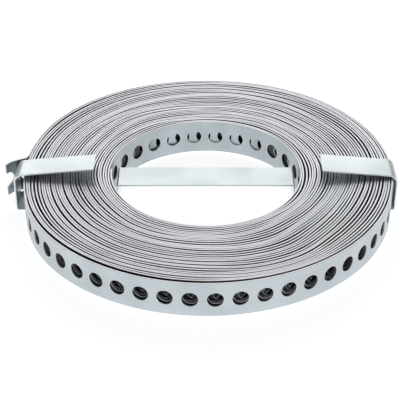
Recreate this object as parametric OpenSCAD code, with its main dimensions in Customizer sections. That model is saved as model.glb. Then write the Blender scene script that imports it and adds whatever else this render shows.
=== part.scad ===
// A roll of perforated steel strap, wound on itself and held by one folded tie strip.
// The roll lies flat. Z is up along its axis, the floor is Z = 0, the tie strip runs along X,
// and the middle of the whole part, seen from above, is the origin.

/* [Strap] */
// Width of the strap, which is the height of the roll
strap_width = 12; // [10:0.5:24]
// Thickness of the strap
strap_thickness = 0.75; // [0.5:0.05:1.2]
// Diameter of each punched hole
hole_diameter = 5; // [3:0.1:6]
// Distance from one hole to the next along the strap
hole_pitch = 7.5; // [7:0.1:20]
// Distance from the cut outer end of the strap to its first whole hole
outer_margin = 7.3; // [6:0.1:7.4]
// Distance from the cut inner end of the strap to its first hole
inner_margin = 7.9; // [4:0.1:12]

/* [Roll] */
// Diameter of the open middle of the roll
bore_diameter = 62.5; // [50:0.5:120]
// Number of turns, with the loose outer turn
turns = 34; // [6:1:44]
// Gap between one turn and the next
turn_gap = 0.12; // [0.08:0.01:0.4]
// Extra gap by which the outer turn has sprung away at the right
outer_slack = 0.1; // [0.1:0.05:1]
// Distance by which the front of the outer turn has sprung forwards
front_spring = 0.4; // [0.2:0.1:1.5]
// Distance by which the back of the outer turn has sprung backwards
back_spring = 0.5; // [0.2:0.1:1.5]
// Depth to which the gaps between the turns are open at each end of the roll
gap_depth = 2.5; // [0.5:0.1:3]
// Direction from the axis in which the outer turn ends
end_angle = 171.8; // [160:0.1:172]
// Distance from the middle of the tie strip to the axis of the roll, to the right
roll_shift = 0.35; // [0:0.05:0.5]

/* [Bent free end] */
// Angle by which the strap's end is bent away from the roll
tail_bend = 57; // [40:1:60]
// Inner radius of that bend
tail_radius = 0.8; // [0.4:0.1:1.5]
// Length of the straight part after that bend
tail_straight = 3; // [2.5:0.1:8]
// Angle by which the end then curls back
tail_curl = 54; // [20:1:60]
// Radius of that curl, at the middle of the strap
curl_radius = 5.7; // [5:0.1:12]

/* [Tie strip] */
// Width of the tie strip
tie_width = 11; // [8:0.5:12]
// Thickness of the tie strip
tie_thickness = 0.5; // [0.3:0.05:0.6]
// Depth of the bridge over the open middle, below the top of the roll
bridge_drop = 2.5; // [1:0.1:5]
// Clearance between the legs in the open middle and the inner turn
inner_clearance = 0.3; // [0.1:0.05:1]
// Distance from the axis of the roll to the middle of the tie strip, to the back
tie_offset = 0.45; // [0:0.05:0.5]
// Gap between the outer legs and the outer turn
outer_standoff = 1; // [0.9:0.1:1.5]
// Inner radius of the bends at the bridge and under the roll
bend_radius = 0.3; // [0.2:0.05:0.4]
// Inner radius of the bends where the outer legs fold over the roll
clip_radius = 2.6; // [1:0.1:2.6]
// Height of the folded clips above the top of the roll, at their bends
clip_rise = 1; // [1:0.1:2]
// Angle by which the clips rise towards their free ends
clip_lift = 5.5; // [1:0.5:8]
// Length of the left clip from its bend to its free end
left_clip = 23.8; // [10:0.1:25]
// Length of the right clip from its bend to its free end
right_clip = 22.3; // [10:0.1:25]

/* [Hidden] */
$fn = 144;

turn_pitch = strap_thickness + turn_gap;
core_turns = turns - 1;
half_pitch = turn_pitch / 2;
groove = min(gap_depth, (strap_width - hole_diameter) / 2 - 0.5);
roll_bottom = tie_thickness;
hole_height = roll_bottom + strap_width / 2;

// Middle of the strap at the inner turn and at the last turn of the core, in the half where they begin
inner_mid = bore_diameter / 2 + strap_thickness / 2;
core_mid = inner_mid + (core_turns - 1) * turn_pitch;

// Distance from the axis at which the outer turn begins, is half way round and ends
outer_begin = core_mid + 1.5 * half_pitch;
outer_half = core_mid + 2.5 * half_pitch + outer_slack;
outer_end = core_mid + 3.5 * half_pitch;

// Each half turn has its own centre on the X axis, so that the halves run on as a spiral
first_centre = half_pitch / 2;
second_centre = -half_pitch / 2;
outer_first_centre = (outer_half - outer_begin) / 2;
outer_second_centre = (outer_half - outer_end) / 2;
outer_first_mid = (outer_half + outer_begin) / 2;
outer_second_mid = (outer_half + outer_end) / 2;

seam_turn = end_angle - 180;
bend_steps = 6;
curl_steps = 12;

// Inner faces of the tie's outer legs and outer faces of its legs in the open middle
outer_leg = roll_shift + outer_half + strap_thickness / 2 + outer_standoff;
inner_leg = sqrt(pow(bore_diameter / 2, 2) - pow(tie_width / 2 + tie_offset, 2))
    - roll_shift - half_pitch / 2 - inner_clearance;
bend_outside = bend_radius + tie_thickness;

// One half turn of a profile about its own centre: the first half lies before it, the second behind
module half_turn(centre, second) {
    translate([centre[0], centre[1], roll_bottom])
        rotate([0, 0, second ? 0 : 180])
            rotate_extrude(angle = 180)
                children();
}

module strap_section(mid) {
    translate([mid - strap_thickness / 2, 0])
        square([strap_thickness, strap_width]);
}

// Section of the wound core: the gaps between its turns show on both ends
module core_section(mid) {
    difference() {
        translate([mid - strap_thickness / 2, 0])
            square([(core_turns - 1) * turn_pitch + strap_thickness, strap_width]);
        for (i = [0 : core_turns - 2]) {
            translate([mid + strap_thickness / 2 + i * turn_pitch, -1])
                square([turn_gap, groove + 1]);
            translate([mid + strap_thickness / 2 + i * turn_pitch, strap_width - groove])
                square([turn_gap, groove + 1]);
        }
    }
}

// A straight run of the outer turn along Y, at a distance from the axis
module side_run(middle, from, to) {
    translate([middle - strap_thickness / 2, from, roll_bottom])
        cube([strap_thickness, to - from, strap_width]);
}

// A punch that points away from a centre, from one radius to another
module punch(centre, angle, from, to) {
    translate([centre[0], centre[1], hole_height])
        rotate([0, 90, angle])
            translate([0, 0, from])
                cylinder(d = hole_diameter, h = to - from);
}

// Length of a half turn, and the angle that a length takes up on it
function half_length(mid) = PI * mid;
function turned(length, mid) = length / mid * 180 / PI;

// First hole of the outer turn, and of the turn behind it, back from the places where those turns end
bend_way = (tail_radius + strap_thickness / 2) * PI * tail_bend / 180;
curl_way = curl_radius * PI * tail_curl / 180;
outer_skip = outer_margin + hole_pitch - bend_way - tail_straight - curl_way;
back_way = half_length(outer_second_mid);
side_way = front_spring + back_spring;
outer_way = back_way + side_way + half_length(outer_first_mid) + front_spring;
outer_holes = floor((outer_way - hole_diameter - outer_skip) / hole_pitch) + 1;
second_start = outer_skip + outer_holes * hole_pitch - outer_way;
second_skip = second_start + max(0, ceil((hole_diameter - second_start) / hole_pitch)) * hole_pitch;

// The outer turn from its end: the back half, the straight run at the right, then the front half
module outer_turn_punches() {
    inside = -strap_thickness / 2 - turn_gap / 2;
    for (i = [0 : outer_holes - 1]) {
        d = outer_skip + i * hole_pitch;
        if (d < back_way)
            punch([outer_second_centre, back_spring], 180 - turned(d, outer_second_mid),
                outer_second_mid + inside, outer_second_mid + strap_thickness);
        else if (d < back_way + side_way)
            punch([outer_second_centre, back_spring - d + back_way], 0,
                outer_second_mid + inside, outer_second_mid + strap_thickness);
        else
            punch([outer_first_centre, -front_spring], -turned(d - back_way - side_way, outer_first_mid),
                outer_first_mid + inside, outer_first_mid + strap_thickness);
    }
}

// The turn behind the outer one has its holes to the depth of the strap
module second_turn_punches() {
    back_mid = core_mid + half_pitch;
    way = half_length(back_mid) + half_length(core_mid);
    for (d = [second_skip : hole_pitch : way - hole_diameter]) {
        if (d < half_length(back_mid))
            punch([second_centre, 0], 180 - turned(d, back_mid),
                back_mid - strap_thickness / 2, back_mid + strap_thickness / 2 + turn_gap / 2);
        else
            punch([first_centre, 0], -turned(d - half_length(back_mid), core_mid),
                core_mid - strap_thickness / 2, core_mid + strap_thickness / 2 + turn_gap / 2);
    }
}

// The inner turn, forwards from the strap's inner end, has its holes to the depth of the strap
module inner_turn_punches() {
    way = half_length(inner_mid) + half_length(inner_mid + half_pitch);
    for (d = [inner_margin : hole_pitch : way - hole_diameter]) {
        if (d < half_length(inner_mid))
            punch([first_centre, 0], 180 + turned(d, inner_mid),
                inner_mid - strap_thickness, inner_mid + strap_thickness / 2);
        else
            punch([second_centre, 0], turned(d - half_length(inner_mid), inner_mid + half_pitch),
                inner_mid + half_pitch - strap_thickness, inner_mid + half_pitch + strap_thickness / 2);
    }
}

// The strap's outer end starts from the middle of its bend: heading is the way it runs, past the bend
bend_middle = [-outer_end - strap_thickness / 2 - tail_radius, back_spring];
heading = [-sin(tail_bend), -cos(tail_bend)];
curl_centre = (tail_radius + strap_thickness / 2 + curl_radius) * [cos(tail_bend), -sin(tail_bend)]
    + tail_straight * heading;

// One side of the bend, and one side of the curl
function bend_side(radius) = [
    for (i = [0 : bend_steps]) radius * [cos(tail_bend * i / bend_steps), -sin(tail_bend * i / bend_steps)]
];
function curl_side(radius) = [
    for (i = [0 : curl_steps])
        let (angle = tail_curl * i / curl_steps - tail_bend)
            curl_centre - radius * [cos(angle), sin(angle)]
];
function reversed(points) = [for (i = [len(points) - 1 : -1 : 0]) points[i]];

near_side = concat(bend_side(tail_radius + strap_thickness), curl_side(curl_radius - strap_thickness / 2));
far_side = concat(bend_side(tail_radius), curl_side(curl_radius + strap_thickness / 2));

// A punch through the bent end, at a distance from its cut: past the curl's start it turns with the curl
module tail_punch(from_cut) {
    beyond = curl_way - from_cut;
    across = tail_radius + strap_thickness / 2 + curl_radius;
    rotate([0, 0, -tail_bend])
        translate([across, -tail_straight - min(beyond, 0), strap_width / 2])
            rotate([0, 90, turned(max(beyond, 0), curl_radius)])
                translate([0, 0, -curl_radius - 2 * strap_thickness])
                    cylinder(d = hole_diameter, h = 4 * strap_thickness);
}

// The strap's outer end, bent away from the roll, with one whole hole and the cut through the next
module tail() {
    translate([bend_middle[0], bend_middle[1], roll_bottom])
        difference() {
            linear_extrude(height = strap_width)
                polygon(concat(near_side, reversed(far_side)));
            tail_punch(outer_margin);
            tail_punch(outer_margin - hole_pitch);
        }
}

// Middle of the whole part, between the bent end and the right leg, and between the front and the back
function turned_x(point) = point[0] * cos(seam_turn) - point[1] * sin(seam_turn);
function turned_y(point) = point[0] * sin(seam_turn) + point[1] * cos(seam_turn);
left_most = roll_shift + min([for (p = far_side) turned_x(p + bend_middle)]);
front_most = turned_y([outer_first_centre, -front_spring]) - outer_first_mid - strap_thickness / 2;
back_most = turned_y([outer_second_centre, back_spring]) + outer_second_mid + strap_thickness / 2;
part_middle = [(left_most + outer_leg + tie_thickness) / 2, (front_most + back_most) / 2];

module strap_coil() {
    color([0.74, 0.77, 0.79])
        translate([roll_shift - part_middle[0], -part_middle[1], 0])
            rotate([0, 0, seam_turn])
                difference() {
                    union() {
                        half_turn([first_centre, 0], false) core_section(inner_mid);
                        half_turn([second_centre, 0], true) core_section(inner_mid + half_pitch);
                        side_run(-outer_begin, -front_spring, 0);
                        half_turn([outer_first_centre, -front_spring], false)
                            strap_section(outer_first_mid);
                        side_run(outer_half, -front_spring, back_spring);
                        half_turn([outer_second_centre, back_spring], true)
                            strap_section(outer_second_mid);
                        tail();
                    }
                    outer_turn_punches();
                    second_turn_punches();
                    inner_turn_punches();
                }
}

// A straight run of the tie strip, with what follows it at its end
module run(length) {
    square([length, tie_thickness]);
    translate([length, 0])
        children();
}

// A bend of the tie strip to the left, with what follows it at its end
module bend_left(radius, angle) {
    reach = 2 * (radius + tie_thickness);
    translate([0, tie_thickness + radius]) {
        intersection() {
            difference() {
                circle(radius + tie_thickness);
                circle(radius);
            }
            rotate(-90)
                polygon([[0, 0], [reach, 0], [reach * cos(angle), reach * sin(angle)]]);
        }
        rotate(angle)
            translate([0, -tie_thickness - radius])
                children();
    }
}

// A bend to the right is a bend to the left of the strip turned over
module bend_right(radius, angle) {
    translate([0, tie_thickness])
        mirror([0, 1])
            bend_left(radius, angle)
                translate([0, tie_thickness])
                    mirror([0, 1])
                        children();
}

// One side of the tie, from the middle of its bridge to its free end
module tie_side(clip) {
    bridge_top = roll_bottom + strap_width - bridge_drop;
    leg_height = bridge_top - 2 * bend_outside;
    outer_height = roll_bottom + strap_width + clip_rise - bend_outside - clip_radius;
    translate([0, bridge_top - tie_thickness])
        run(inner_leg - bend_outside)
            bend_right(bend_radius, 90)
                run(leg_height)
                    bend_left(bend_radius, 90)
                        run(outer_leg - inner_leg - 2 * bend_radius)
                            bend_left(bend_radius, 90)
                                run(outer_height)
                                    bend_left(clip_radius, 90 - clip_lift)
                                        run(clip);
}

module tie_strip() {
    color([0.9, 0.92, 0.92])
        translate([-part_middle[0], tie_offset + tie_width / 2 - part_middle[1], 0])
            rotate([90, 0, 0])
                linear_extrude(height = tie_width) {
                    tie_side(right_clip);
                    mirror([1, 0])
                        tie_side(left_clip);
                }
}

strap_coil();
tie_strip();
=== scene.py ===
"""The looks of a roll of perforated steel strap, held by one folded tie strip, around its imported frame."""

import math

import bmesh
import bpy
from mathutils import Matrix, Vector, noise


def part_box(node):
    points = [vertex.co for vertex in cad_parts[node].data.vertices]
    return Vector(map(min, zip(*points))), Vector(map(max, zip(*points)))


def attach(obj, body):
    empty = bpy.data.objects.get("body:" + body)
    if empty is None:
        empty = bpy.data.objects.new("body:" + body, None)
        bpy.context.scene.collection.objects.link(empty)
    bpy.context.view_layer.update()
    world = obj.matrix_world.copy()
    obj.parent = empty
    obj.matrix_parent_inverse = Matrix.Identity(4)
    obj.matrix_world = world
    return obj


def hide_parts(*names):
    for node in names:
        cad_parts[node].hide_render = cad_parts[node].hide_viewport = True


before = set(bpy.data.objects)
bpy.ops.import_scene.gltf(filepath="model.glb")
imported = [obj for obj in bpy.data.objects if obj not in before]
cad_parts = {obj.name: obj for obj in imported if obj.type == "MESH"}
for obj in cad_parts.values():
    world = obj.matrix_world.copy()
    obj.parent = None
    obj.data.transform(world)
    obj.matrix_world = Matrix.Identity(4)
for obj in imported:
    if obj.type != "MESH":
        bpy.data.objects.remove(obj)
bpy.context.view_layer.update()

# Sizes are in millimetres from the middle of the tie strip, and MM turns them into the frame's metres
MM = 0.001
tie_low, tie_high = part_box("tie_strip")
TIE_MIDDLE = Vector(((tie_low.x + tie_high.x) / 2, (tie_low.y + tie_high.y) / 2, 0))

# The strap, flat
STRAP_WIDTH = 12.0
STRAP_THICKNESS = 0.6
HOLE_DIAMETER = 5.0
HOLE_PITCH = 7.52
EDGE_ROUNDING = 0.08
PUNCH_ROUNDING = 0.09
STRAP_SHARP_ANGLE = math.radians(40)
ROLL_BOTTOM = 0.5
ROLL_MIDDLE = ROLL_BOTTOM + STRAP_WIDTH / 2

# The winding: the roll's axis, its inner and outer turns, and the angle at which the strap's ends lie
TURNS = 34
AXIS = Vector((0.15, -0.45, 0))
INNER_RADIUS = 31.3
OUTER_RADIUS = 60.85
FIRST_RISE = 0.68
JOINED_BY = 0.12
END_ANGLE = math.radians(171.5)
START_ANGLE = END_ANGLE - 2 * math.pi
COLUMNS = 180
HEIGHT_WAVER = 0.2
WAVES_PER_METRE = 7
WINDING_SEED = 4.0
FITTING_ROUNDS = 5

# Where the inner turn, the outer turn and the gap behind it depart from a circle:
# (by how much, in which direction, falling to nothing how far either side), both in degrees
INNER_BULGES = ((0.25, -90, 65), (-0.45, 0, 60))
OUTER_BULGES = ((1.1, 40, 55), (1.1, 130, 40), (0.3, 88, 50), (-0.7, -176, 40))
OUTER_GAP = 0.12
OUTER_GAP_BULGES = ((0.85, -118, 70), (0.35, -40, 80), (0.1, 80, 85))

# Waves of the other gaps: their scale round the roll, their step from turn to turn, and how sharply
# they part pressed from loose turns at the sides, and at the front and back
LOOSE_WAVES = (0.6, 1.7)
FINE_WAVES = (1.3, 2.3)
FINE_SEED = 5
LOOSE_SHARE = 0.6
LEAST_GAP = 0.04
SIDE_CONTRAST = 4
FRONT_CONTRAST = 10

# Where gaps are wider: (by how much, in which direction, how far either side, at which turn, how far off)
LOOSE_PLACES = ((0.9, 146, 48, 31, 5), (0.4, 30, 38, 26, 6))

# The strap's cells, of one pitch each: how near their corners are welded, their steps along the strap and the
# height of their plain ends, the sides of their holes, and how many at the strap's ends are in fuller detail
WELD = 0.01
CELL_STEPS = 4
WEB_HEIGHT = 2.2
OPEN_SIDES = 32
HALF_HIDDEN_SIDES = 16
HIDDEN_SIDES = 8
OPEN_INNER_CELLS = 54
OPEN_OUTER_CELLS = 106
HALF_HIDDEN_INNER_CELLS = 110
HALF_HIDDEN_OUTER_CELLS = 256

# Where the strap has crept, so that the holes of neighbouring turns meet: (from, to, by how much),
# along the strap from its inner end, or from its outer end where that is below nought
CREEP = ((190, 330, 3.73), (-1700, -1250, -4.67), (-900, -750, -2.51), (-570, -400, 3.45))

# The strap's outer end: bent away from the roll, straight, curled back, and cut just past a hole's middle
TAIL_BEND = math.radians(57)
TAIL_RADIUS = 1.175
TAIL_STRAIGHT = 3.8
TAIL_CURL = math.radians(41)
CURL_RADIUS = 5.7
CUT_PAST_HOLE = 0.5
INNER_PLAIN_END = 3.5

# The tie strip
TIE_WIDTH = 11.0
TIE_THICKNESS = 0.5
TIE_ROUNDING = 0.14
BRIDGE_TOP = 10.0
INNER_LEG = 29.3
OUTER_LEG = 62.37
BEND_RADIUS = 0.3
CLIP_RADIUS = 2.4
CLIP_UNDERSIDE = 13.0
LEFT_CLIP = 23.8
RIGHT_CLIP = 22.3
LEFT_LIFT = math.radians(5.35)
RIGHT_LIFT = math.radians(5)
LEFT_TWIST = math.radians(5.5)
RIGHT_TWIST = math.radians(2)
RUN_STEP = 1.5
BEND_STEPS = 10
CORNER_STEPS = 3
TIE_SHARP_ANGLE = math.radians(12)

# Colours of the finishes: each zinc is clouded between two
OUTER_ZINC = ((0.53, 0.585, 0.615), (0.61, 0.665, 0.695))
# The inner faces' zinc is the outer zinc made about an eighth darker: painted shade of the bore wall
SHADED_INNER_ZINC = ((0.46, 0.51, 0.535), (0.53, 0.585, 0.61))
# Near black for the faces hidden between the turns: painted shade
PAINTED_SHADE_BETWEEN_TURNS = ((0.05, 0.053, 0.06), (0.09, 0.095, 0.105))
BARE_STEEL = (0.80, 0.81, 0.84)
TIE_ZINC = ((0.82, 0.88, 0.89), (0.87, 0.93, 0.94))

# Where the painted shade between the turns stops along the strap: the first turn's end, the stretch of the
# turn behind it that is left unshaded, the start of the outer turn's outer face before that turn begins, and
# the bent end before the cut, where the painted shade is partly lifted
FIRST_TURN_END = (190, 200)
UNSHADED_STRETCH_START = (324, 332)
UNSHADED_STRETCH_END = (366, 373)
BEFORE_LAST_TURN = (-20, -10)
BENT_END = (-14, -11)
BENT_END_UNSHADED_SHARE = 0.4

# How far the bare steel of a hole's rim and of the slit edges fades into the zinc
RIM_FADE = (0.05, 0.22)
RIM_SHARE = 0.9
EDGE_FADE = (0.2, 0.02)

# Light: the room, the table's own glow, and each window's place, width and height in metres and its watts
ROOM_LIGHT = 0.22
FLOOR_GLOW = 0.69
FLOOR_REACH = 3.0
BACK_WINDOW = ((0.0, 1.05, 0.46), 1.0, 0.92, 3.7)
FRONT_WINDOW = ((0.0, -1.05, 0.48), 3.0, 0.96, 4.5)

# The photograph's camera, fitted to the roll's outlines: its lens in millimetres, and its distance in metres
SENSOR_WIDTH = 36.0
LENS = 117.33
LENS_SHIFT = -0.01445
CAMERA_ELEVATION = math.radians(33.97)
CAMERA_DISTANCE = 0.4371
NEAR_CLIP = 0.01


def framed(point):
    """A place in the frame, from millimetres about the tie's middle."""
    return TIE_MIDDLE + Vector(point) * MM


class Wire:
    """An output socket of a node tree. Arithmetic on wires adds Math nodes to their tree."""

    def __init__(self, tree, socket):
        self.tree = tree
        self.socket = socket

    @classmethod
    def make(cls, tree, kind, settings=None, inputs=None, output=0):
        """Adds a node of that kind: its settings first, then the values or wires of its sockets."""
        node = tree.nodes.new(kind)
        for name, value in (settings or {}).items():
            setattr(node, name, value)
        for name, value in (inputs or {}).items():
            for one in value if isinstance(value, list) else [value]:
                if isinstance(one, Wire):
                    tree.links.new(one.socket, node.inputs[name])
                else:
                    node.inputs[name].default_value = one
        return cls(tree, node.outputs[output])

    def output(self, name):
        """Another output of this wire's node."""
        return Wire(self.tree, self.socket.node.outputs[name])

    def math(self, operation, *values):
        """A Math node on these values."""
        return Wire.make(self.tree, "ShaderNodeMath", {"operation": operation}, dict(enumerate(values)))

    def vector(self, operation, *values):
        """A Vector Math node on these values."""
        return Wire.make(self.tree, "ShaderNodeVectorMath", {"operation": operation}, dict(enumerate(values)))

    def __add__(self, other):
        return self.math("ADD", self, other)

    def __sub__(self, other):
        return self.math("SUBTRACT", self, other)

    def __rsub__(self, other):
        return self.math("SUBTRACT", other, self)

    def __mul__(self, other):
        return self.math("MULTIPLY", self, other)

    __radd__ = __add__
    __rmul__ = __mul__

    def ramp(self, low, high):
        """0 where this value is at low and 1 at high, smoothly between."""
        settings = {"interpolation_type": "SMOOTHSTEP"}
        inputs = {"Value": self, "From Min": low, "From Max": high}
        return Wire.make(self.tree, "ShaderNodeMapRange", settings, inputs)


def smooth_bump(value, middle, width):
    """1 at the middle, falling to 0 at that width either side."""
    share = min(1.0, abs(value - middle) / width)
    return (1 - share * share) ** 2


def near_angle(angle, middle, width):
    """1 in the direction of middle, falling to 0 at that width either side, with both in degrees."""
    return smooth_bump((math.degrees(angle) - middle + 180) % 360 - 180, 0, width)


# The winding

def bulged(angle, bulges):
    """Sum of the bulges in that direction."""
    return sum(amount * near_angle(angle, middle, width) for amount, middle, width in bulges)


def inner_radius(angle):
    """Middle of the strap's first turn, which lies wider at the front and closer at the right."""
    return INNER_RADIUS + bulged(angle, INNER_BULGES)


def outer_radius(angle):
    """Middle of the outer turn, which bulges at the back right and left and is pressed in at the left."""
    return OUTER_RADIUS + bulged(angle, OUTER_BULGES)


def outer_gap(angle):
    """Gap behind the sprung outer turn: wide at the front left, narrower at the right and the back."""
    return OUTER_GAP + bulged(angle, OUTER_GAP_BULGES)


def gap_share(turn, angle):
    """How wide the gap outside a turn is beside the others: some turns are pressed together, others loose."""
    around = Vector((math.cos(angle), math.sin(angle), 0))
    scale, step = LOOSE_WAVES
    loose = noise.noise(around * scale + Vector((0, 0, step * turn)))
    scale, step = FINE_WAVES
    fine = noise.noise(around * scale + Vector((FINE_SEED, 0, step * turn)))
    wider = sum(
        amount * near_angle(angle, middle, width) * smooth_bump(turn, loosest, reach)
        for amount, middle, width, loosest, reach in LOOSE_PLACES
    )
    contrast = SIDE_CONTRAST + (FRONT_CONTRAST - SIDE_CONTRAST) * math.sin(angle) ** 2
    opened = LEAST_GAP + 1 / (1 + math.exp(-contrast * (fine + LOOSE_SHARE * loose)))
    return opened * (1 + wider)


def winding_column(share):
    """Middles of all turns from the roll's axis, at that share of a turn past the strap's ends."""
    angle = START_ANGLE + 2 * math.pi * share
    joined = min(1.0, share / JOINED_BY)
    joined = joined * joined * (3 - 2 * joined)
    end_step = STRAP_THICKNESS + outer_gap(END_ANGLE)
    outer = outer_radius(angle) - end_step * (1 - joined)
    radii = [inner_radius(angle) + FIRST_RISE * share]
    shares = [gap_share(turn + share, angle) for turn in range(TURNS - 2)]
    free = outer - outer_gap(angle) - radii[0] - (TURNS - 1) * STRAP_THICKNESS
    for one in shares:
        radii.append(radii[-1] + STRAP_THICKNESS + free * one / sum(shares))
    return radii + [outer]


def winding_radii():
    """The middle of the strap from the roll's axis, turn after turn, COLUMNS to a turn."""
    columns = [winding_column(i / COLUMNS) for i in range(COLUMNS + 1)]
    radii = []
    for turn in range(TURNS):
        step = columns[0][turn + 1] - columns[-1][turn] if turn + 1 < TURNS else 0.0
        radii += [columns[i][turn] + step * i / COLUMNS for i in range(COLUMNS)]
    return radii + [columns[-1][-1]]


def winding_points(radii, ease):
    """Points along the middle of the whole strap, from its inner end to the cut of its bent end."""
    points = []
    core = (TURNS - 1) * COLUMNS
    for i, radius in enumerate(radii):
        angle = START_ANGLE + 2 * math.pi * i / COLUMNS
        radius += ease * math.sin(math.pi * min(1.0, i / core))
        points.append(AXIS + radius * Vector((math.cos(angle), math.sin(angle), 0)))
    run = points[-1] - points[-2]
    heading = math.atan2(run.y, run.x)
    for length, turned, steps in (
        (TAIL_RADIUS * TAIL_BEND, -TAIL_BEND, 10),
        (TAIL_STRAIGHT, 0.0, 2),
        (CURL_RADIUS * TAIL_CURL, TAIL_CURL, 16),
    ):
        for _ in range(steps):
            heading += turned / steps / 2
            points.append(points[-1] + length / steps * Vector((math.cos(heading), math.sin(heading), 0)))
            heading += turned / steps / 2
    return points


def path_length(points):
    """Length of the path through these points."""
    return sum((b - a).length for a, b in zip(points, points[1:]))


def fitted_winding():
    """The winding, eased by hundredths of a millimetre so that its end cuts a hole, and its cells' number."""
    ease, last_cell = 0.0, HOLE_PITCH / 2 + CUT_PAST_HOLE
    radii = winding_radii()
    for _ in range(FITTING_ROUNDS):
        points = winding_points(radii, ease)
        cells = (path_length(points) - INNER_PLAIN_END - last_cell) / HOLE_PITCH
        ease += (round(cells) - cells) * HOLE_PITCH / (4 * (TURNS - 1))
    return points, round(cells) + 1


def path_object(name, points):
    """A plain curve through these points, in metres."""
    curve = bpy.data.curves.new(name, "CURVE")
    curve.dimensions = "3D"
    spline = curve.splines.new("POLY")
    spline.points.add(len(points) - 1)
    for place, point in zip(spline.points, points):
        place.co = (*framed(point), 1)
    return bpy.data.objects.new(name, curve)


# The punched strap: cells of one pitch each, joined in a row and bent along the winding

def grid_faces(bm, rows, closed=False):
    """Quads between rows of as many vertices each."""
    for row, following in zip(rows, rows[1:]):
        count = len(row)
        for i in range(count if closed else count - 1):
            j = (i + 1) % count
            bm.faces.new((row[i], row[j], following[j], following[i]))


def punched_cell(name, hole_sides, rounded_hole, cut_at=None):
    """One pitch of flat strap with its hole: X along the strap, Y outwards, Z across its width."""
    bm = bmesh.new()
    half_width = STRAP_WIDTH / 2
    half_thickness = STRAP_THICKNESS / 2
    face_height = half_width - EDGE_ROUNDING
    along = [HOLE_PITCH * i / CELL_STEPS for i in range(CELL_STEPS + 1)]
    radius = HOLE_DIAMETER / 2
    rounding = PUNCH_ROUNDING if rounded_hole else 0.0
    turn = [2 * math.pi * (i + 0.5) / hole_sides for i in range(hole_sides)]

    def line(y, z):
        return [bm.verts.new((x, y, z)) for x in along]

    def ring(y, reach):
        return [bm.verts.new((HOLE_PITCH / 2 + reach * math.cos(a), y, reach * math.sin(a))) for a in turn]

    upper, lower, rims = {}, {}, {}
    for side in (1, -1):
        y = side * half_thickness
        upper[side] = line(y, face_height)
        lower[side] = line(y, -face_height)
        left = [bm.verts.new((0, y, z)) for z in (-WEB_HEIGHT, WEB_HEIGHT)]
        right = [bm.verts.new((HOLE_PITCH, y, z)) for z in (WEB_HEIGHT, -WEB_HEIGHT)]
        outline = lower[side][::-1] + left + upper[side] + right
        rims[side] = ring(y, radius + rounding)
        edges = []
        for loop in (outline, rims[side]):
            edges += [bm.edges.new((loop[i - 1], loop[i])) for i in range(len(loop))]
        bmesh.ops.triangle_fill(bm, use_beauty=True, edges=edges, normal=(0, side, 0))

    hole = [rims[1]]
    if rounded_hole:
        hole += [ring(side * (half_thickness - rounding), radius) for side in (1, -1)]
    grid_faces(bm, hole + [rims[-1]], closed=True)
    for edge, z in ((upper, half_width), (lower, -half_width)):
        flat = [line(side * (half_thickness - EDGE_ROUNDING), z) for side in (1, -1)]
        grid_faces(bm, [edge[1], *flat, edge[-1]])
    bmesh.ops.recalc_face_normals(bm, faces=bm.faces)
    if cut_at is not None:
        whole = [*bm.verts, *bm.edges, *bm.faces]
        bmesh.ops.bisect_plane(bm, geom=whole, plane_co=(cut_at, 0, 0), plane_no=(1, 0, 0), clear_outer=True)
    bmesh.ops.scale(bm, vec=(MM, MM, MM), verts=bm.verts)
    mesh = bpy.data.meshes.new(name)
    bm.to_mesh(mesh)
    bm.free()
    return bpy.data.objects.new(name, mesh)


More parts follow.
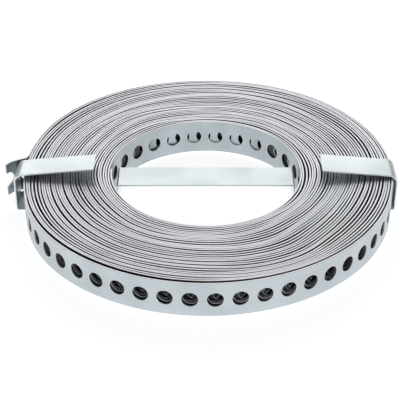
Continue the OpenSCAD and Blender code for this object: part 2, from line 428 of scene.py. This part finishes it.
def strap_tree(length):
    """The tree that lays punched cells in a row, joins them and bends the row along the winding."""
    tree = bpy.data.node_groups.new("strap_along_its_winding", "GeometryNodeTree")
    for name, kind in (
        ("Geometry", "Geometry"),
        ("Winding", "Object"),
        ("Half hidden cell", "Object"),
        ("Hidden cell", "Object"),
        ("Cut cell", "Object"),
        ("Cells", "Int"),
        ("Hole pitch", "Float"),
        ("Start", "Float"),
        ("Height", "Float"),
        ("Height waver", "Float"),
        ("Open inner cells", "Int"),
        ("Open outer cells", "Int"),
        ("Half hidden inner cells", "Int"),
        ("Half hidden outer cells", "Int"),
        ("Seed", "Float"),
        ("Finish", "Material"),
    ):
        tree.interface.new_socket(name, in_out="INPUT", socket_type="NodeSocket" + kind)
    tree.interface.new_socket("Geometry", in_out="OUTPUT", socket_type="NodeSocketGeometry")

    def make(kind, settings=None, inputs=None, output=0):
        return Wire.make(tree, kind, settings, inputs, output)

    given = make("NodeGroupInput")
    index = make("GeometryNodeInputIndex")
    from_outside = given.output("Cells") - 1 - index

    def near(inner, outer):
        """1 for the cells of the first inner and of the last outer turns."""
        inside = index.math("LESS_THAN", index, given.output(inner))
        outside = index.math("LESS_THAN", from_outside, given.output(outer))
        return index.math("MAXIMUM", inside, outside)

    open_cells = near("Open inner cells", "Open outer cells")
    half_hidden = near("Half hidden inner cells", "Half hidden outer cells")
    cut = index.math("LESS_THAN", from_outside, 0.5)
    which = 2 - open_cells - half_hidden + 3 * cut

    def cell_instance(shape):
        return make("GeometryNodeGeometryToInstance", inputs={"Geometry": shape})

    def object_shape(name):
        return make("GeometryNodeObjectInfo", inputs={"Object": given.output(name)}, output="Geometry")

    kinds = [
        cell_instance(given.output("Geometry")),
        cell_instance(object_shape("Half hidden cell")),
        cell_instance(object_shape("Hidden cell")),
        cell_instance(object_shape("Cut cell")),
    ]
    choice = make("GeometryNodeJoinGeometry", inputs={"Geometry": kinds[::-1]})
    step = make("ShaderNodeCombineXYZ", inputs={"X": given.output("Hole pitch")})
    row = make("GeometryNodeMeshLine", inputs={"Count": given.output("Cells"), "Offset": step})
    placed = make("GeometryNodeInstanceOnPoints", inputs={
        "Points": row, "Instance": choice, "Pick Instance": True, "Instance Index": which,
    })
    flat = make("GeometryNodeMergeByDistance", inputs={
        "Geometry": make("GeometryNodeRealizeInstances", inputs={"Geometry": placed}),
        "Distance": WELD * MM,
    })

    place = make("GeometryNodeInputPosition")
    marked = make("GeometryNodeStoreNamedAttribute", {"data_type": "FLOAT_VECTOR", "domain": "POINT"}, {
        "Geometry": flat, "Name": "flat_strap", "Value": place,
    })
    parts = make("ShaderNodeSeparateXYZ", inputs={"Vector": place})
    along = parts.output("X")
    travelled = along + given.output("Start")
    for begin, end, amount in CREEP:
        counted_from = length if begin < 0 else 0
        travelled += amount * MM * along.ramp((counted_from + begin) * MM, (counted_from + end) * MM)
    path = make("GeometryNodeSampleCurve", {"mode": "LENGTH"}, {
        "Curves": object_shape("Winding"), "Length": travelled,
    }, "Position")
    upwards = (0, 0, 1)
    outwards = path.vector("NORMALIZE", path.vector("CROSS_PRODUCT", path.output("Tangent"), upwards))
    wave = make("ShaderNodeTexNoise", {"noise_dimensions": "1D"}, {
        "W": along * WAVES_PER_METRE + given.output("Seed"), "Scale": 1.0, "Detail": 1.0,
    })
    lift = parts.output("Z") + given.output("Height") + (wave - 0.5) * given.output("Height waver")
    risen = make("ShaderNodeCombineXYZ", inputs={"Z": lift})
    scale = {"operation": "SCALE"}
    across = make("ShaderNodeVectorMath", scale, {0: outwards, "Scale": parts.output("Y")})
    bent_place = path.vector("ADD", path.vector("ADD", path, across), risen)
    bent = make("GeometryNodeSetPosition", inputs={"Geometry": marked, "Position": bent_place})
    real = make("GeometryNodeRealizeInstances", inputs={"Geometry": bent})
    finished = make("GeometryNodeSetMaterial", inputs={
        "Geometry": real, "Material": given.output("Finish"),
    })
    result = tree.nodes.new("NodeGroupOutput")
    tree.links.new(finished.socket, result.inputs["Geometry"])
    return tree


def evaluated_mesh(obj, tree, values):
    """The plain mesh that a tree makes of an object, with these values on its named inputs."""
    bpy.context.scene.collection.objects.link(obj)
    modifier = obj.modifiers.new(tree.name, "NODES")
    modifier.node_group = tree
    for item in tree.interface.items_tree:
        if item.in_out == "INPUT" and item.name in values:
            modifier[item.identifier] = values[item.name]
    depsgraph = bpy.context.evaluated_depsgraph_get()
    mesh = bpy.data.meshes.new_from_object(obj.evaluated_get(depsgraph))
    obj.modifiers.remove(modifier)
    bpy.data.objects.remove(obj)
    return mesh


def strap_roll():
    """The whole punched strap, wound from its inner end to its bent outer end."""
    points, cells = fitted_winding()
    length = cells * HOLE_PITCH
    finish = strap_steel(length)
    winding = path_object("winding", points)
    half_hidden = punched_cell("half_hidden_cell", HALF_HIDDEN_SIDES, False)
    hidden = punched_cell("hidden_cell", HIDDEN_SIDES, False)
    cut = punched_cell("cut_cell", OPEN_SIDES, True, HOLE_PITCH / 2 + CUT_PAST_HOLE)
    mesh = evaluated_mesh(punched_cell("open_cell", OPEN_SIDES, True), strap_tree(length), {
        "Winding": winding,
        "Half hidden cell": half_hidden,
        "Hidden cell": hidden,
        "Cut cell": cut,
        "Cells": cells,
        "Hole pitch": HOLE_PITCH * MM,
        "Start": INNER_PLAIN_END * MM,
        "Height": ROLL_MIDDLE * MM,
        "Height waver": HEIGHT_WAVER * MM,
        "Open inner cells": OPEN_INNER_CELLS,
        "Open outer cells": OPEN_OUTER_CELLS,
        "Half hidden inner cells": HALF_HIDDEN_INNER_CELLS,
        "Half hidden outer cells": HALF_HIDDEN_OUTER_CELLS,
        "Seed": WINDING_SEED,
        "Finish": finish,
    })
    bm = bmesh.new()
    bm.from_mesh(mesh)
    bmesh.ops.holes_fill(bm, edges=[e for e in bm.edges if e.is_boundary], sides=0)
    bmesh.ops.recalc_face_normals(bm, faces=bm.faces)
    bm.to_mesh(mesh)
    bm.free()
    for spare in (winding, half_hidden, hidden, cut):
        bpy.data.objects.remove(spare)
    return shaded_piece("perforated_strap", mesh, STRAP_SHARP_ANGLE)


def shaded_piece(name, mesh, sharp_angle):
    """An object of the scene with that mesh, smooth but for edges sharper than the angle."""
    mesh.polygons.foreach_set("use_smooth", [True] * len(mesh.polygons))
    mesh.set_sharp_from_angle(angle=sharp_angle)
    piece = bpy.data.objects.new(name, mesh)
    bpy.context.scene.collection.objects.link(piece)
    return piece


# The tie strip

def tie_side(clip, lift, twist):
    """Places along the middle of one side of the tie, bridge to free end: (x, z, heading, twist)."""
    half = TIE_THICKNESS / 2
    bend = BEND_RADIUS + half
    clip_bend = CLIP_RADIUS + half
    bridge = INNER_LEG - TIE_THICKNESS - BEND_RADIUS
    leg = BRIDGE_TOP - 2 * (BEND_RADIUS + TIE_THICKNESS)
    under = OUTER_LEG - INNER_LEG - 2 * BEND_RADIUS
    outer = CLIP_UNDERSIDE - CLIP_RADIUS - BEND_RADIUS - TIE_THICKNESS
    quarter = math.pi / 2
    moves = [
        (bridge, 0, 0), (0, bend, -quarter), (leg, 0, 0), (0, bend, quarter), (under, 0, 0),
        (0, bend, quarter), (outer, 0, 0), (0, clip_bend, quarter - lift), (clip, 0, 0),
    ]
    x, z, heading, places = 0.0, BRIDGE_TOP - half, 0.0, []
    for number, (length, radius, angle) in enumerate(moves):
        steps = max(2, round(length / RUN_STEP)) if length else BEND_STEPS
        for step in range(steps):
            folded = max(0.0, min(1.0, number - len(moves) + 2 + step / steps))
            places.append((x, z, heading, twist * folded))
            heading += angle / steps / 2
            advance = length / steps if length else 2 * radius * math.sin(abs(angle) / steps / 2)
            x += advance * math.cos(heading)
            z += advance * math.sin(heading)
            heading += angle / steps / 2
    places.append((x, z, heading, twist))
    return places


def tie_section():
    """Outline of the tie's section: (across its width, through its thickness)."""
    outline = []
    for corner, (side, face) in enumerate(((1, 1), (-1, 1), (-1, -1), (1, -1))):
        for step in range(CORNER_STEPS + 1):
            angle = math.pi / 2 * (corner + step / CORNER_STEPS)
            outline.append((
                side * (TIE_WIDTH / 2 - TIE_ROUNDING) + TIE_ROUNDING * math.cos(angle),
                face * (TIE_THICKNESS / 2 - TIE_ROUNDING) + TIE_ROUNDING * math.sin(angle),
            ))
    return outline


def tie_strip(finish):
    """The folded tie strip, its section carried along both sides and its clips a little twisted."""
    right = tie_side(RIGHT_CLIP, RIGHT_LIFT, RIGHT_TWIST)
    left = tie_side(LEFT_CLIP, LEFT_LIFT, LEFT_TWIST)
    places = [(-x, z, -heading, twist) for x, z, heading, twist in reversed(left[1:])] + right
    bm = bmesh.new()
    marks = bm.verts.layers.float_vector.new("flat_tie")
    rows, travelled, before = [], 0.0, None
    for x, z, heading, twist in places:
        middle = Vector((x, 0, z))
        travelled += (middle - before).length if before else 0.0
        before = middle
        row = []
        for across, through in tie_section():
            turned = across * math.cos(twist) - through * math.sin(twist)
            raised = through * math.cos(twist) + across * math.sin(twist)
            lift = Vector((-math.sin(heading), 0, math.cos(heading))) * raised
            vert = bm.verts.new(framed(middle + lift + Vector((0, turned, 0))))
            vert[marks] = Vector((travelled, across, through)) * MM
            row.append(vert)
        rows.append(row)
    grid_faces(bm, rows, closed=True)
    bm.faces.new(rows[0])
    bm.faces.new(rows[-1][::-1])
    bmesh.ops.recalc_face_normals(bm, faces=bm.faces)
    mesh = bpy.data.meshes.new("tie_strip_folded")
    bm.to_mesh(mesh)
    bm.free()
    mesh.materials.append(finish)
    return shaded_piece("folded_tie", mesh, TIE_SHARP_ANGLE)


# Finishes

def zinc_steel(name, attribute, colour_of, roughness, metallic):
    """Galvanised strip: clouded zinc with fine lines along the strip from the rolls that made it."""
    material = bpy.data.materials.new(name)
    material.use_nodes = True
    tree = material.node_tree
    shader = tree.nodes["Principled BSDF"]

    def make(kind, settings=None, inputs=None, output=0):
        return Wire.make(tree, kind, settings, inputs, output)

    flat = make("ShaderNodeAttribute", {"attribute_name": attribute}, output="Vector")
    place = make("ShaderNodeTexCoord", output="Object")
    clouds = make("ShaderNodeTexNoise", inputs={"Vector": place, "Scale": 90.0, "Detail": 4.0})
    stretch = make("ShaderNodeMapping", inputs={"Vector": flat, "Scale": (60.0, 4000.0, 4000.0)})
    lines = make("ShaderNodeTexNoise", inputs={"Vector": stretch, "Scale": 1.0, "Detail": 3.0})
    tone = clouds.ramp(0.3, 0.7) * 0.6 + lines.ramp(0.3, 0.7) * 0.4
    bump = make("ShaderNodeBump", inputs={"Height": lines, "Strength": 0.12, "Distance": 0.02 * MM})
    shader.inputs["Metallic"].default_value = metallic
    for socket, wire in (
        ("Base Color", colour_of(make, flat, tone)),
        ("Roughness", roughness - tone * 0.1),
        ("Normal", bump),
    ):
        tree.links.new(wire.socket, shader.inputs[socket])
    return material


def blend(make, share, first, second):
    """A colour that goes from the first to the second: either may be a wire or three numbers."""
    ends = [end if isinstance(end, Wire) else (*end, 1) for end in (first, second)]
    inputs = {"Factor": share, "A": ends[0], "B": ends[1]}
    return make("ShaderNodeMix", {"data_type": "RGBA"}, inputs, "Result")


def strap_colour(make, flat, tone, length):
    """Blue-grey zinc outside, a darker copy of it inside as painted shade of the bore, near-black painted
    shade on the faces hidden between the turns, and pale where slit or punched.
    """
    parts = make("ShaderNodeSeparateXYZ", inputs={"Vector": flat})
    along, through = parts.output("X"), parts.output("Y")
    height = through.math("ABSOLUTE", parts.output("Z"))

    def past(stretch, counted_from=0.0):
        """0 before that stretch of the strap and 1 after it."""
        return along.ramp(*((counted_from + place) * MM for place in stretch))

    last_turn = length - 2 * math.pi * OUTER_RADIUS
    outside = through.ramp(-0.2 * MM, 0.2 * MM)
    first_turn = 1 - past(FIRST_TURN_END)
    unshaded_behind_it = past(UNSHADED_STRETCH_START) * (1 - past(UNSHADED_STRETCH_END))
    # Faces open to the bore and to the room keep their zinc, and every other face gets painted shade
    inner_face = (1 - outside) * through.math("MAXIMUM", first_turn, unshaded_behind_it)
    outer_face = outside * past(BEFORE_LAST_TURN, last_turn)
    # The bent end's hidden face has its painted shade partly lifted
    bent_end = BENT_END_UNSHADED_SHARE * past(BENT_END, length)
    left_unshaded = through.math("MAXIMUM", through.math("MAXIMUM", inner_face, outer_face), bent_end)
    finishes = (OUTER_ZINC, SHADED_INNER_ZINC, PAINTED_SHADE_BETWEEN_TURNS)
    # The inner zinc is a darker copy of the outer zinc, painted shade of the bore
    outer_zinc, shaded_inner_zinc, painted_shade = (blend(make, tone, *ends) for ends in finishes)
    # Painted shade, near black, wherever a face is not left unshaded
    zinc = blend(make, left_unshaded, painted_shade, blend(make, outside, shaded_inner_zinc, outer_zinc))
    from_hole = through.math("MODULO", along, HOLE_PITCH * MM) - HOLE_PITCH / 2 * MM
    reach = through.math("SQRT", from_hole * from_hole + height * height)
    rim = 1 - reach.ramp(*((HOLE_DIAMETER / 2 + width) * MM for width in RIM_FADE))
    edge = height.ramp(*((STRAP_WIDTH / 2 - width) * MM for width in EDGE_FADE))
    bare = through.math("MAXIMUM", rim * RIM_SHARE, edge)
    return blend(make, bare, zinc, BARE_STEEL)


def strap_steel(length):
    """The finish of the strap, for its whole length."""
    def colour(make, flat, tone):
        return strap_colour(make, flat, tone, length)

    return zinc_steel("galvanised_strap", "flat_strap", colour, roughness=0.46, metallic=1.0)


def tie_colour(make, flat, tone):
    """Bright, slightly cool zinc."""
    return blend(make, tone, *TIE_ZINC)


def tie_steel():
    """The finish of the tie strip."""
    return zinc_steel("galvanised_tie", "flat_tie", tie_colour, roughness=0.5, metallic=0.9)


# The stage: floor, light and camera

def white_floor():
    """A white table that glows a little, so that the object's shadow on it stays pale."""
    mesh = bpy.data.meshes.new("floor")
    corners = [(x * FLOOR_REACH, y * FLOOR_REACH, 0) for x, y in ((-1, -1), (1, -1), (1, 1), (-1, 1))]
    mesh.from_pydata(corners, [], [(0, 1, 2, 3)])
    floor = bpy.data.objects.new("floor", mesh)
    bpy.context.scene.collection.objects.link(floor)
    material = bpy.data.materials.new("white_floor")
    material.use_nodes = True
    shader = material.node_tree.nodes["Principled BSDF"]
    shader.inputs["Base Color"].default_value = (0.94, 0.94, 0.94, 1)
    shader.inputs["Roughness"].default_value = 0.9
    shader.inputs["Specular IOR Level"].default_value = 0.0
    shader.inputs["Emission Color"].default_value = (1, 1, 1, 1)
    shader.inputs["Emission Strength"].default_value = FLOOR_GLOW
    mesh.materials.append(material)


def area_lamp(name, place, width, height, energy):
    """A soft lamp at that place in metres, turned to the middle of the roll."""
    lamp = bpy.data.lights.new(name, "AREA")
    lamp.shape = "RECTANGLE"
    lamp.size = width
    lamp.size_y = height
    lamp.energy = energy
    holder = bpy.data.objects.new(name, lamp)
    holder.location = TIE_MIDDLE + Vector(place)
    holder.rotation_euler = (-Vector(place)).to_track_quat("-Z", "Y").to_euler()
    bpy.context.scene.collection.objects.link(holder)


def light_room():
    """A dim room with two windows: the brighter behind the roll, the wider before it."""
    world = bpy.data.worlds.new("pale_room")
    world.use_nodes = True
    background = world.node_tree.nodes["Background"]
    background.inputs["Color"].default_value = (1, 1, 1, 1)
    background.inputs["Strength"].default_value = ROOM_LIGHT
    bpy.context.scene.world = world
    area_lamp("window_behind", *BACK_WINDOW)
    area_lamp("window_before", *FRONT_WINDOW)


def photo_camera():
    """The camera that took the photograph."""
    camera = bpy.data.cameras.new("camera")
    camera.sensor_width = SENSOR_WIDTH
    camera.lens = LENS
    camera.shift_x = LENS_SHIFT
    camera.clip_start = NEAR_CLIP
    holder = bpy.data.objects.new("camera", camera)
    away = Vector((0, -math.cos(CAMERA_ELEVATION), math.sin(CAMERA_ELEVATION)))
    holder.location = framed((0, 0, ROLL_BOTTOM)) + away * CAMERA_DISTANCE
    holder.rotation_euler = (-away).to_track_quat("-Z", "Y").to_euler()
    bpy.context.scene.collection.objects.link(holder)
    bpy.context.scene.camera = holder


photo_camera()
light_room()
white_floor()
bpy.context.scene.view_settings.view_transform = "Standard"

strap = strap_roll()
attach(strap, "root")
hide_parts("strap_coil")

tie = tie_strip(tie_steel())
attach(tie, "root")
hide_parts("tie_strip")
